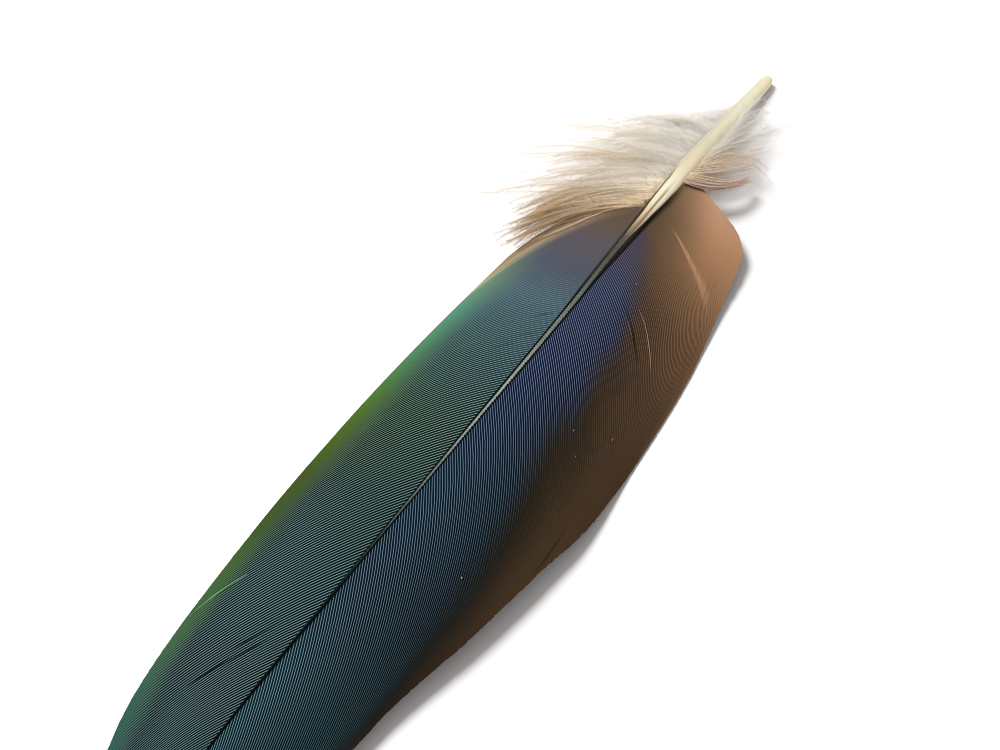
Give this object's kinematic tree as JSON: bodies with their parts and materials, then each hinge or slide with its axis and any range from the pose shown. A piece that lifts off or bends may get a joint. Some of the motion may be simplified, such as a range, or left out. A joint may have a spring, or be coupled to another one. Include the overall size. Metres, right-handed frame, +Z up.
{
  "type": "macaw feather",
  "caption": "Macaw wing feather lying upper side up: a bare quill that tapers into the shaft, a narrow blue-green outer vane, a wide blue and brown inner vane, and down at the base.",
  "frame": {"origin": "on the table, under the middle of the feather's box", "axes": "+Y from the quill's end to the feather's tip, +X towards the outer vane's side, +Z up from the feather's upper side"},
  "size_m": [0.0402, 0.15, 0.0061],
  "materials": {
    "quill": "satin horn, ivory at the base and black towards the tip",
    "outer_vane": "ribbed blue to teal barbs with a green margin",
    "inner_vane": "ribbed blue barbs beside the shaft, brown towards the margin",
    "outer_down": "soft grey-white down with tan tips",
    "inner_down": "soft curled down, pinkish tan to white"
  },
  "bodies": {
    "root": {"quill": "quill", "outer_vane": "outer_vane", "inner_vane": "inner_vane", "outer_down": "outer_down", "inner_down": "inner_down"}
  },
  "joints": []
}
